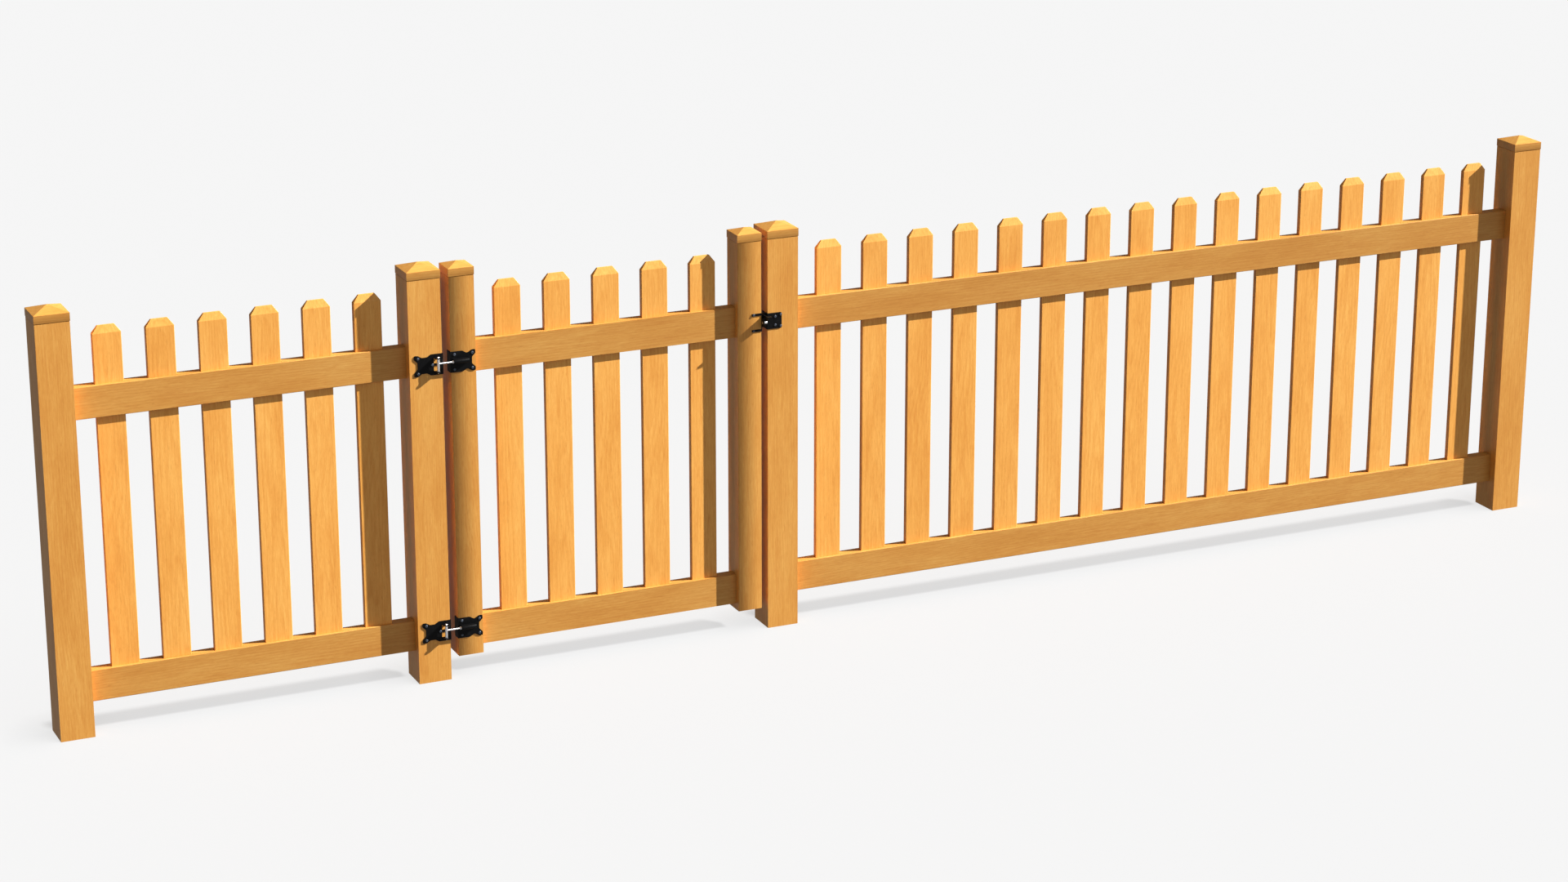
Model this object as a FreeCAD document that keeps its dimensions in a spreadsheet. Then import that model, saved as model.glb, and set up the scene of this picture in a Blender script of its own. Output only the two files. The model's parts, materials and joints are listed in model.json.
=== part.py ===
import FreeCAD, Part
import os
import re
import Sketcher

# A picket-fence gateway: two fence panels, a hinged gate leaf between them and its hardware.
# Millimetres. Origin: centre of the hinge post's foot. +X runs along the fence from the hinge
# post through the gate, +Y points to the back, +Z is up. The hardware is on the front, -Y.

# ---------------------------------------------------------------- driving dimensions

SIZES = {
    # posts and their caps
    "post_size": 101.6,
    "post_height": 1256.0,
    "cap_overhang": 1.0,
    "cap_skirt": 25.4,
    "cap_rise": 17.3,
    "cap_bevel": 2.0,
    "spigot_radius": 12.5,
    "spigot_length": 30.0,
    # clear widths between the posts
    "left_clear": 991.4,
    "opening": 1046.6,
    "right_clear": 2611.6,
    # rails
    "rail_thickness": 38.0,
    "rail_height": 95.5,
    "top_rail_drop": 302.0,
    "bottom_rail_bottom": 97.5,
    "rail_seat": 25.0,
    "joinery_gap": 0.4,
    # pickets
    "picket_width": 84.2,
    "picket_thickness": 16.4,
    "picket_drop": 36.0,
    "picket_crown": 23.0,
    "picket_crown_width": 50.0,
    "picket_crown_thickness": 6.0,
    "picket_seat": 60.0,
    "left_pickets": 6,
    "left_first_gap": 69.9,
    "left_last_gap": 66.3,
    "gate_pickets": 5,
    "gate_first_gap": 71.3,
    "gate_last_gap": 60.4,
    "right_pickets": 16,
    "right_first_gap": 81.8,
    "right_last_gap": 84.6,
    # gate leaf
    "hinge_gap": 26.1,
    "latch_gap": 21.4,
    "stile_size": 78.2,
    "stile_bottom": 70.6,
    "stile_drop": 1.7,
    "stile_cap_rise": 13.3,
    "gate_bottom_rail": 91.4,
    # fasteners
    "screw_radius": 2.4,
    "screw_length": 18.0,
    "screw_head_radius": 4.2,
    "screw_head_height": 1.8,
    "screw_crown_radius": 3.1,
    "screw_socket_radius": 1.7,
    "screw_socket_depth": 1.1,
    "screw_fit": 0.05,
    "rivet_fit": 0.02,
    # hinge leaves
    "plate": 2.0,
    "upper_hinge_drop": 5.8,
    "lower_hinge": 160.5,
    "leaf_half_height": 32.0,
    "leaf_neck": 24.5,
    "leaf_body_length": 36.0,
    "leaf_flare": 12.0,
    "post_leaf_length": 87.8,
    "gate_leaf_length": 76.6,
    "leaf_wrap": 27.0,
    "ear_length": 12.0,
    "ear_height": 11.0,
    "ear_hook": 11.0,
    "leaf_tip_round": 3.5,
    "leaf_round": 8.0,
    "leaf_screw_height": 23.0,
    "ear_screw_inset": 12.0,
    "leaf_body_screw": 11.0,
    "post_leaf_mid_screw": 31.5,
    # hinge pin and its lugs
    "pin_setback": 17.1,
    "pin_standoff": 13.5,
    "pin_radius": 2.2,
    "pin_head_radius": 3.8,
    "pin_head_height": 2.4,
    "pin_fit": 0.05,
    "lug_inner": 20.0,
    "lug_thickness": 3.0,
    "lug_half_base": 9.8,
    "lug_half_nose": 6.0,
    "lug_round": 5.5,
    "window_bar": 3.5,
    # adjusting rod, its barrel, nut and housing
    "barrel_radius": 3.9,
    "barrel_end_play": 0.3,
    "rod_radius": 2.4,
    "rod_rise": 4.6,
    "rod_reach": 34.0,
    "rod_fit": 0.1,
    "nut_across_corners": 9.4,
    "nut_thickness": 4.4,
    "housing_half": 6.2,
    "housing_round": 5.4,
    "housing_setback": 4.4,
    "housing_length": 57.0,
    "housing_ramp": 6.0,
    "housing_bore_end": 8.0,
    # latch plate on the post
    "latch_drop": 2.8,
    "latch_half_height": 25.3,
    "latch_plate_width": 46.4,
    "latch_wrap": 37.0,
    "latch_round": 5.0,
    "latch_inner_screw": 24.6,
    "latch_inner_screw_height": 13.2,
    "latch_outer_screw": 42.9,
    "latch_outer_screw_height": 18.2,
    "boss_radius": 7.0,
    "pivot_setback": 26.8,
    "pivot_rise": 9.5,
    "pivot_radius": 3.0,
    "pivot_fit": 0.05,
    "pivot_head_radius": 5.5,
    "pivot_head_height": 1.3,
    # latch lever, drawn raised clear of the striker pin
    "lever_thickness": 6.0,
    "lever_left_gap": 7.0,
    "lever_play": 0.2,
    "lever_hub": 8.0,
    "lever_top": 12.0,
    "lever_crest": 14.0,
    "lever_reach": 58.0,
    "lever_drop_angle": 15.0,
    "hook_cover": 5.4,
    "hook_toe": 2.6,
    "hook_clearance": 0.7,
    "lever_heel": 6.0,
    "thumb_width": 16.0,
    "thumb_length": 11.0,
    "thumb_thickness": 3.0,
    # striker on the gate
    "striker_pin_radius": 4.0,
    "striker_pin_setout": 9.2,
    "striker_pin_reach": 12.6,
    "striker_plate": 2.0,
    "striker_tongue_tip": 8.0,
    "striker_tongue_root": 16.0,
    "striker_tongue_reach": 21.2,
    "striker_web_depth": 15.0,
    "striker_web_half": 29.0,
    "finger_length": 31.6,
    "finger_half": 3.6,
    "finger_height": 25.2,
    "finger_screw_inset": 12.0,
    "stop_gap": 0.6,
    "stop_depth": 13.4,
    "stop_height": 13.0,
    "stop_reach": 12.2,
    "stop_rest_gap": 0.3,
}

# Places and lengths that follow from the driving dimensions.
DERIVED = {
    "front": "-post_size / 2",
    "left_post_x": "-(left_clear + post_size)",
    "latch_post_x": "opening + post_size",
    "end_post_x": "opening + right_clear + 2 * post_size",
    "hinge_stile_x": "post_size / 2 + hinge_gap + stile_size / 2",
    "latch_stile_x": "post_size / 2 + opening - latch_gap - stile_size / 2",
    "gate_y": "front + stile_size / 2",
    "gate_clear": "opening - hinge_gap - latch_gap - 2 * stile_size",
    "stile_top": "post_height - stile_drop",
    "picket_top": "post_height - picket_drop",
    "picket_shoulder": "picket_top - picket_crown",
    "top_rail_bottom": "post_height - top_rail_drop",
    "top_rail_z": "top_rail_bottom + rail_height / 2",
    "bottom_rail_z": "bottom_rail_bottom + rail_height / 2",
    "gate_rail_z": "gate_bottom_rail + rail_height / 2",
    "stile_length": "stile_top - stile_bottom",
    "picket_foot": "bottom_rail_bottom + rail_height - picket_seat",
    "gate_picket_foot": "gate_bottom_rail + rail_height - picket_seat",
    "left_spread": "left_clear - left_first_gap - left_last_gap - picket_width",
    "gate_spread": "gate_clear - gate_first_gap - gate_last_gap - picket_width",
    "right_spread": "right_clear - right_first_gap - right_last_gap - picket_width",
    "left_pitch": "left_spread / (left_pickets - 1)",
    "gate_pitch": "gate_spread / (gate_pickets - 1)",
    "right_pitch": "right_spread / (right_pickets - 1)",
    "upper_hinge": "top_rail_z - upper_hinge_drop",
    "latch_height": "top_rail_z - latch_drop",
    "mortise_width": "picket_width + 2 * joinery_gap",
    "mortise_thickness": "picket_thickness + 2 * joinery_gap",
    "post_edge": "post_size / 2",
    "gate_edge": "post_size / 2 + hinge_gap",
    "gate_shut_edge": "post_size / 2 + opening - latch_gap",
    "latch_edge": "post_size / 2 + opening",
    "pin_x": "post_edge - pin_setback",
    "pin_y": "front - pin_standoff",
    "barrel_length": "2 * (lug_inner - barrel_end_play)",
    "housing_front": "pin_standoff + housing_half",
    "pivot_y": "front + pivot_setback",
    "pivot_z": "latch_height + pivot_rise",
    "lever_right": "latch_edge - plate - lever_gap",
    "lever_gap": "latch_gap - plate - lever_left_gap - lever_thickness",
    "lever_x": "gate_shut_edge + lever_left_gap",
    "striker_pin_y": "front - striker_pin_setout",
    "hook_u": "pivot_setback + striker_pin_setout",
    "notch_half": "striker_pin_radius + hook_clearance",
    "pilot_depth": "screw_length - striker_plate + screw_fit",
}

WORD = re.compile(r"[a-z][a-z_]*[a-z]")
MATH_WORDS = {"cos", "sin", "tan", "deg", "mm"}


def expand(text):
    """Writes a size expression in the sheet's own terms."""
    def in_sheet(match):
        word = match.group(0)
        if word in MATH_WORDS:
            return word
        if word in DERIVED:
            return "(" + expand(DERIVED[word]) + ")"
        if word not in SIZES:
            raise KeyError(word)
        return "Sizes." + word
    return WORD.sub(in_sheet, text)


doc = FreeCAD.newDocument("GardenGate")
sheet = doc.addObject("Spreadsheet::Sheet", "Sizes")
for row, (alias, number) in enumerate(SIZES.items(), start=1):
    sheet.set(f"A{row}", alias.replace("_", " "))
    sheet.set(f"B{row}", str(number))
    sheet.setAlias(f"B{row}", alias)
doc.recompute()

nodes = []

# ---------------------------------------------------------------- building helpers


def bind(thing, **properties):
    """Binds properties to size expressions. A double underscore in a name stands for a dot."""
    for name, text in properties.items():
        thing.setExpression(name.replace("__", "."), expand(text))


def place(thing, x="0", y="0", z="0"):
    for axis, text in (("x", x), ("y", y), ("z", z)):
        thing.setExpression(f"Placement.Base.{axis}", expand(text))


def node(thing, label):
    """Marks a finished object as a sub-part and names its file."""
    thing.Label = label
    nodes.append(thing)
    return thing


def new_body(label, x="0", y="0", z="0"):
    body = doc.addObject("PartDesign::Body", label)
    place(body, x, y, z)
    return node(body, label)


def sketch_on(body, name, plane, x="0", y="0", out="0"):
    """A sketch on a body's origin plane, shifted in the plane by x, y and along its normal by out."""
    sketch = body.newObject("Sketcher::SketchObject", name)
    support = next(o for o in body.Origin.OriginFeatures if o.Role == plane)
    sketch.AttachmentSupport = (support, [""])
    sketch.MapMode = "FlatFace"
    for axis, text in (("x", x), ("y", y), ("z", out)):
        sketch.setExpression(f"AttachmentOffset.Base.{axis}", expand(text))
    return sketch


def pin_point(sketch, geometry, vertex, x, y):
    """Fixes a sketch point by its two distances from the sketch's origin."""
    for kind, text in (("DistanceX", x), ("DistanceY", y)):
        index = sketch.addConstraint(Sketcher.Constraint(kind, -1, 1, geometry, vertex, 1.0))
        sketch.setExpression(f"Constraints[{index}]", expand(text))


def polygon(body, name, plane, corners, **where):
    sketch = sketch_on(body, name, plane, **where)
    count = len(corners)
    for index in range(count):
        start = FreeCAD.Vector(index, index * index, 0)
        following = (index + 1) % count
        end = FreeCAD.Vector(following, following * following, 0)
        sketch.addGeometry(Part.LineSegment(start, end))
    for index in range(count):
        sketch.addConstraint(Sketcher.Constraint("Coincident", index, 2, (index + 1) % count, 1))
    for index, (x, y) in enumerate(corners):
        pin_point(sketch, index, 1, x, y)
    return sketch


def rectangle(body, name, plane, width, height, **where):
    """A rectangle centred on the sketch's origin."""
    right, top = f"({width}) / 2", f"({height}) / 2"
    left, bottom = f"-({width}) / 2", f"-({height}) / 2"
    corners = [(left, bottom), (right, bottom), (right, top), (left, top)]
    return polygon(body, name, plane, corners, **where)


def circles(body, name, plane, radius, centres, **where):
    sketch = sketch_on(body, name, plane, **where)
    up = FreeCAD.Vector(0, 0, 1)
    for index, (x, y) in enumerate(centres):
        sketch.addGeometry(Part.Circle(FreeCAD.Vector(20 * index, 0, 0), up, 1))
        size = sketch.addConstraint(Sketcher.Constraint("Radius", index, 1.0))
        sketch.setExpression(f"Constraints[{size}]", expand(radius))
        pin_point(sketch, index, 3, x, y)
    return sketch


def pad(body, sketch, length, midplane=False, backwards=False):
    feature = body.newObject("PartDesign::Pad", sketch.Name + "Pad")
    feature.Profile = sketch
    feature.Midplane = midplane
    feature.Reversed = backwards
    bind(feature, Length=length)
    sketch.Visibility = False
    return feature


def pocket(body, sketch, length, midplane=False, backwards=False):
    """A pocket that must take material away; it cuts against the sketch's normal."""
    doc.recompute()
    before = body.Shape.Volume
    feature = body.newObject("PartDesign::Pocket", sketch.Name + "Pocket")
    feature.Profile = sketch
    feature.Midplane = midplane
    feature.Reversed = backwards
    bind(feature, Length=length)
    sketch.Visibility = False
    doc.recompute()
    if not body.Shape.Volume < before:
        raise RuntimeError(f"{feature.Name} of {body.Label} cuts nothing")
    return feature


def repeat_along_x(body, feature, count, pitch):
    pattern = body.newObject("PartDesign::LinearPattern", feature.Name + "Row")
    pattern.Originals = [feature]
    pattern.Direction = (next(o for o in body.Origin.OriginFeatures if o.Role == "X_Axis"), [""])
    bind(pattern, Length=f"({count} - 1) * {pitch}", Occurrences=count)
    body.Tip = pattern
    doc.recompute()
    return pattern


def fillet_edges(body, radius, chosen):
    """Rounds the edges of the body's tip that the test picks out."""
    doc.recompute()
    base = body.Tip
    names = [f"Edge{i}" for i, edge in enumerate(base.Shape.Edges, start=1) if chosen(edge)]
    feature = body.newObject("PartDesign::Fillet", base.Name + "Round")
    feature.Base = (base, names)
    bind(feature, Radius=radius)
    doc.recompute()
    return feature


def chamfer_edges(body, size, chosen):
    doc.recompute()
    base = body.Tip
    names = [f"Edge{i}" for i, edge in enumerate(base.Shape.Edges, start=1) if chosen(edge)]
    feature = body.newObject("PartDesign::Chamfer", base.Name + "Bevel")
    feature.Base = (base, names)
    bind(feature, Size=size)
    doc.recompute()
    return feature


def runs_along(edge, axis):
    """Is this a straight edge along one axis, 0 for X, 1 for Y or 2 for Z?"""
    if not isinstance(edge.Curve, Part.Line):
        return False
    direction = edge.Vertexes[-1].Point - edge.Vertexes[0].Point
    return abs(direction[axis]) > 0.999 * direction.Length


def cylinder(name, radius, height, axis, x="0", y="0", z="0"):
    """A Part cylinder that starts at a point and runs along +X, +Y or +Z."""
    turns = {
        "x": FreeCAD.Rotation(FreeCAD.Vector(0, 1, 0), 90),
        "y": FreeCAD.Rotation(FreeCAD.Vector(1, 0, 0), -90),
        "z": FreeCAD.Rotation(),
    }
    thing = doc.addObject("Part::Cylinder", name)
    thing.Placement.Rotation = turns[axis]
    bind(thing, Radius=radius, Height=height)
    place(thing, x, y, z)
    return thing


def cone(name, low_radius, high_radius, height, axis, x="0", y="0", z="0"):
    """A Part cone with its first radius at a point, running along +Z, -Z or -Y."""
    turns = {
        "up": FreeCAD.Rotation(),
        "down": FreeCAD.Rotation(FreeCAD.Vector(1, 0, 0), 180),
        "front": FreeCAD.Rotation(FreeCAD.Vector(1, 0, 0), 90),
        "left": FreeCAD.Rotation(FreeCAD.Vector(0, 1, 0), -90),
    }
    thing = doc.addObject("Part::Cone", name)
    thing.Placement.Rotation = turns[axis]
    bind(thing, Radius1=low_radius, Radius2=high_radius, Height=height)
    place(thing, x, y, z)
    return thing


def prism(name, corner_radius, height, axis, x="0", y="0", z="0"):
    """A six-sided Part prism that starts at a point and runs along +X or +Y."""
    turns = {
        "x": FreeCAD.Rotation(FreeCAD.Vector(0, 1, 0), 90),
        "y": FreeCAD.Rotation(FreeCAD.Vector(1, 0, 0), -90),
    }
    thing = doc.addObject("Part::Prism", name)
    thing.Polygon = 6
    thing.Placement.Rotation = turns[axis]
    bind(thing, Circumradius=corner_radius, Height=height)
    place(thing, x, y, z)
    return thing


def fuse(name, *things):
    joined = doc.addObject("Part::MultiFuse", name)
    joined.Shapes = list(things)
    return joined


def cut(name, base, tool):
    left = doc.addObject("Part::Cut", name)
    left.Base = base
    left.Tool = tool
    return left


def group(label, things):
    """Identical fasteners as one sub-part of separate solids."""
    gathered = doc.addObject("Part::Compound", label)
    gathered.Links = things
    return node(gathered, label)


# ---------------------------------------------------------------- timber


def pilot_holes(body, name, centres, out):
    """Screw holes into a member's front face. Each centre is x, z from the body's origin."""
    sketch = circles(body, name, "XZ_Plane", "screw_radius + screw_fit", centres, out=out)
    pocket(body, sketch, "pilot_depth")


def rail_mortises(body, size, heights, sides, y="0"):
    """Blind mortises for rail ends. Side +1 is the member's right face, -1 its left."""
    for side in sides:
        for index, height in enumerate(heights):
            sketch = rectangle(
                body, f"{body.Name}Mortise{index}{'Right' if side > 0 else 'Left'}", "YZ_Plane",
                "rail_thickness + 2 * joinery_gap", "rail_height + 2 * joinery_gap",
                x=y, y=height, out=f"{side} * {size} / 2",
            )
            pocket(body, sketch, "rail_seat + joinery_gap", backwards=side < 0)


def make_post(label, x, sides, front_screws=()):
    body = new_body(label, x=x)
    outline = rectangle(body, label + "Section", "XY_Plane", "post_size", "post_size")
    pad(body, outline, "post_height")
    socket = circles(body, label + "Socket", "XY_Plane", "spigot_radius + joinery_gap",
                     [("0", "0")], out="post_height")
    pocket(body, socket, "spigot_length + joinery_gap")
    rail_mortises(body, "post_size", ["top_rail_z", "bottom_rail_z"], sides)
    if front_screws:
        pilot_holes(body, label + "Pilots", front_screws, "post_size / 2")
    return body


def make_stile(label, x, side, front_screws):
    body = new_body(label, x=x, y="gate_y", z="stile_bottom")
    outline = rectangle(body, label + "Section", "XY_Plane", "stile_size", "stile_size")
    pad(body, outline, "stile_length")
    socket = circles(body, label + "Socket", "XY_Plane", "spigot_radius + joinery_gap",
                     [("0", "0")], out="stile_length")
    pocket(body, socket, "spigot_length + joinery_gap")
    heights = ["top_rail_z - stile_bottom", "gate_rail_z - stile_bottom"]
    rail_mortises(body, "stile_size", heights, [side])
    pilot_holes(body, label + "Pilots", front_screws, "stile_size / 2")
    return body


def make_cap(label, size, rise, x, y, z):
    """A square cap with a bevelled lower edge, a low four-sided top and a spigot below."""
    body = new_body(label, x=x, y=y, z=z)
    width = f"({size} + 2 * cap_overhang)"
    top = f"cap_skirt + {rise}"
    pad(body, rectangle(body, label + "Block", "XY_Plane", width, width), top)
    doc.recompute()
    chamfer_edges(body, "cap_bevel", lambda edge: edge.BoundBox.ZMax < 0.001)
    for plane, name in (("XZ_Plane", "Sides"), ("YZ_Plane", "Ends")):
        roof = polygon(body, label + name, plane, [
            (f"-{width} / 2", "cap_skirt"), ("0", top), (f"{width} / 2", "cap_skirt"),
            (f"{width}", "cap_skirt"), (f"{width}", f"{top} + cap_skirt"),
            (f"-{width}", f"{top} + cap_skirt"), (f"-{width}", "cap_skirt"),
        ])
        pocket(body, roof, f"2 * {width}", midplane=True)
    spigot = circles(body, label + "Spigot", "XY_Plane", "spigot_radius", [("0", "0")])
    pad(body, spigot, "spigot_length", backwards=True)
    return body


def make_rail(label, clear, x, y, z, count, first_gap, pitch, depth):
    """A rail with a row of picket mortises cut down from its top edge, each to this depth.

    The body's origin is at the left member's face, at the rail's mid-thickness and underside.
    """
    body = new_body(label, x=x, y=y, z=z)
    length = f"{clear} + 2 * rail_seat"
    section = rectangle(body, label + "Section", "YZ_Plane", "rail_thickness", "rail_height",
                        y="rail_height / 2", out="-rail_seat")
    pad(body, section, length)
    slot = rectangle(body, label + "Slot", "XY_Plane", "mortise_width", "mortise_thickness",
                     x=f"{first_gap} + picket_width / 2", out="rail_height")
    repeat_along_x(body, pocket(body, slot, depth), count, pitch)
    return body


def make_picket(label, x, y, foot):
    """A pale with a crown bevelled on all four sides. Its origin is the middle of its foot."""
    body = new_body(label, x=x, y=y, z=foot)
    half = "picket_width / 2"
    crown = "picket_crown_width / 2"
    shoulder = f"picket_shoulder - {foot}"
    top = f"picket_top - {foot}"
    front = polygon(body, label + "Front", "XZ_Plane", [
        (f"-{half}", "0"), (half, "0"), (half, shoulder),
        (crown, top), (f"-{crown}", top), (f"-{half}", shoulder),
    ])
    pad(body, front, "picket_thickness", midplane=True)
    for side, name in ((1, "Back"), (-1, "Face")):
        outer = f"{side} * picket_thickness / 2"
        inner = f"{side} * picket_crown_thickness / 2"
        beyond = f"{side} * picket_thickness"
        bevel = polygon(body, label + name, "YZ_Plane", [
            (outer, shoulder), (inner, top), (inner, f"{top} + picket_thickness"),
            (beyond, f"{top} + picket_thickness"), (beyond, shoulder),
        ])
        pocket(body, bevel, "picket_width", midplane=True)
    return body


def make_picket_row(prefix, start, y, foot, count, first_gap, pitch):
    for index in range(int(sheet.get(count))):
        x = f"{start} + {first_gap} + picket_width / 2 + {index} * {pitch}"
        make_picket(f"{prefix}_{index + 1:02d}", x, y, foot)


# Screw places, as x from the named edge of the hardware and height about its middle.
POST_LEAF_SCREWS = [
    ("-(post_leaf_length - ear_screw_inset)", "leaf_screw_height"),
    ("-(post_leaf_length - ear_screw_inset)", "-leaf_screw_height"),
    ("-post_leaf_mid_screw", "0"),
]
GATE_LEAF_SCREWS = [
    ("gate_leaf_length - ear_screw_inset + plate", "leaf_screw_height"),
    ("gate_leaf_length - ear_screw_inset + plate", "-leaf_screw_height"),
    ("leaf_body_screw", "leaf_screw_height"),
    ("leaf_body_screw", "-leaf_screw_height"),
]
LATCH_SCREWS = [
    ("latch_inner_screw", "latch_inner_screw_height"),
    ("latch_inner_screw", "-latch_inner_screw_height"),
    ("latch_outer_screw", "latch_outer_screw_height"),
    ("latch_outer_screw", "-latch_outer_screw_height"),
]
STRIKER_SCREWS = [
    ("-(finger_length - finger_screw_inset / 2)", "finger_height"),
    ("-(finger_length - finger_screw_inset / 2)", "-finger_height"),
]


def shifted(screws, edge, height):
    return [(f"{edge} + {x}", f"{height} + {z}") for x, z in screws]


def make_timber():
    hinges = ["upper_hinge", "lower_hinge"]
    hinge_post_screws = [s for h in hinges for s in shifted(POST_LEAF_SCREWS, "post_edge", h)]
    latch_screws = shifted(LATCH_SCREWS, "-post_edge", "latch_height")
    make_post("left_end_post", "left_post_x", [1])
    make_post("hinge_post", "0", [-1], hinge_post_screws)
    make_post("latch_post", "latch_post_x", [1], latch_screws)
    make_post("right_end_post", "end_post_x", [-1])

    stile_half = "stile_size / 2"
    hinge_stile_screws = [
        s for h in hinges
        for s in shifted(GATE_LEAF_SCREWS, f"-{stile_half}", f"{h} - stile_bottom")
    ]
    striker_screws = shifted(STRIKER_SCREWS, stile_half, "latch_height - stile_bottom")
    make_stile("gate_hinge_stile", "hinge_stile_x", 1, hinge_stile_screws)
    make_stile("gate_latch_stile", "latch_stile_x", -1, striker_screws)

    caps = [
        ("left_end_post_cap", "post_size", "cap_rise", "left_post_x", "0", "post_height"),
        ("hinge_post_cap", "post_size", "cap_rise", "0", "0", "post_height"),
        ("latch_post_cap", "post_size", "cap_rise", "latch_post_x", "0", "post_height"),
        ("right_end_post_cap", "post_size", "cap_rise", "end_post_x", "0", "post_height"),
        ("gate_hinge_stile_cap", "stile_size", "stile_cap_rise", "hinge_stile_x", "gate_y", "stile_top"),
        ("gate_latch_stile_cap", "stile_size", "stile_cap_rise", "latch_stile_x", "gate_y", "stile_top"),
    ]
    for cap in caps:
        make_cap(*cap)

    through = "rail_height"
    blind = "picket_seat"
    left_start = "left_post_x + post_edge"
    gate_start = "gate_edge + stile_size"
    right_start = "latch_post_x + post_edge"
    left_row = ("left_pickets", "left_first_gap", "left_pitch")
    gate_row = ("gate_pickets", "gate_first_gap", "gate_pitch")
    right_row = ("right_pickets", "right_first_gap", "right_pitch")
    make_rail("left_top_rail", "left_clear", left_start, "0", "top_rail_bottom", *left_row, through)
    make_rail("left_bottom_rail", "left_clear", left_start, "0", "bottom_rail_bottom", *left_row, blind)
    make_rail("gate_top_rail", "gate_clear", gate_start, "gate_y", "top_rail_bottom", *gate_row, through)
    make_rail("gate_bottom_rail", "gate_clear", gate_start, "gate_y", "gate_bottom_rail", *gate_row, blind)
    make_rail("right_top_rail", "right_clear", right_start, "0", "top_rail_bottom", *right_row, through)
    make_rail("right_bottom_rail", "right_clear", right_start, "0", "bottom_rail_bottom", *right_row, blind)
    make_picket_row("left_picket", left_start, "0", "picket_foot", *left_row)
    make_picket_row("gate_picket", gate_start, "gate_y", "gate_picket_foot", *gate_row)
    make_picket_row("right_picket", right_start, "0", "picket_foot", *right_row)


# ---------------------------------------------------------------- hinges


def leaf_outline(body, name, length, side):
    """The flared outline of a hinge leaf, from the folded edge at x = 0 to its two ears.

    Side -1 reaches to the left and +1 to the right. The fold's own thickness lies beyond x = 0.
    """
    upper = [
        (f"{-side} * plate", "leaf_half_height"),
        (f"{side} * leaf_body_length", "leaf_half_height"),
        (f"{side} * (leaf_body_length + leaf_flare)", "leaf_neck"),
        (f"{side} * ({length} - ear_length - leaf_flare)", "leaf_neck"),
        (f"{side} * ({length} - ear_length)", "leaf_half_height"),
        (f"{side} * {length}", "leaf_half_height"),
        (f"{side} * {length}", "leaf_half_height - ear_height"),
        (f"{side} * ({length} - ear_hook)", "leaf_half_height - ear_height - ear_hook"),
    ]
    lower = [(x, f"-({z})") for x, z in reversed(upper)]
    return polygon(body, name, "XZ_Plane", upper + lower)


def round_leaf(body, side):
    """Rounds the ears' tips tightly and the rest of the outline softly, but not the fold."""
    doc.recompute()
    box = body.Tip.Shape.BoundBox
    far = box.XMin if side < 0 else box.XMax
    near = box.XMax if side < 0 else box.XMin

    def at(edge, x):
        return abs(edge.CenterOfMass.x - x) < 0.001

    def at_tip(edge):
        return runs_along(edge, 1) and at(edge, far) and box.ZMax - abs(edge.CenterOfMass.z) < 0.001

    def soft(edge):
        return runs_along(edge, 1) and not at(edge, near) and not at(edge, far)

    fillet_edges(body, "leaf_tip_round", at_tip)
    fillet_edges(body, "leaf_round", soft)


def wrap_flange(body, name, side, depth, half_height):
    """The flange folded back along the member's side from the leaf's edge at x = 0."""
    flange = polygon(body, name, "XY_Plane", [
        ("0", "0"), ("0", depth), (f"{-side} * plate", depth), (f"{-side} * plate", "0"),
    ])
    pad(body, flange, f"2 * {half_height}", midplane=True)


def make_post_leaf(label, height):
    """The post's leaf, with two windows whose metal is folded out as the lugs for the pin.

    The body's origin is on the post's front right edge at the hinge's height.
    """
    body = new_body(label, x="post_edge", y="front", z=height)
    pad(body, leaf_outline(body, label + "Outline", "post_leaf_length", -1), "plate")
    round_leaf(body, -1)
    wrap_flange(body, label + "Wrap", -1, "leaf_wrap", "leaf_half_height")
    holes = circles(body, label + "Holes", "XZ_Plane", "screw_radius + screw_fit",
                    POST_LEAF_SCREWS, out="plate")
    pocket(body, holes, "plate")
    for side, name in ((1, "Upper"), (-1, "Lower")):
        window = rectangle(
            body, label + name + "Window", "XZ_Plane", "2 * lug_half_base", "lug_inner - window_bar",
            x="-pin_setback", y=f"{side} * (lug_inner + window_bar) / 2", out="plate",
        )
        pocket(body, window, "plate")
        lug = polygon(body, label + name + "Lug", "XY_Plane", [
            ("-pin_setback - lug_half_base", "-plate / 2"),
            ("-pin_setback + lug_half_base", "-plate / 2"),
            ("-pin_setback + lug_half_nose", "-pin_standoff - lug_half_nose"),
            ("-pin_setback - lug_half_nose", "-pin_standoff - lug_half_nose"),
        ], out=f"{side} * (lug_inner + lug_thickness / 2)")
        pad(body, lug, "lug_thickness", midplane=True)
    doc.recompute()
    nose = body.Tip.Shape.BoundBox.YMin
    fillet_edges(body, "lug_round",
                 lambda edge: runs_along(edge, 2) and abs(edge.CenterOfMass.y - nose) < 0.001)
    eye = circles(body, label + "Eye", "XY_Plane", "pin_radius + rivet_fit",
                  [("-pin_setback", "-pin_standoff")])
    pocket(body, eye, "4 * lug_inner", midplane=True)
    return body


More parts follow.
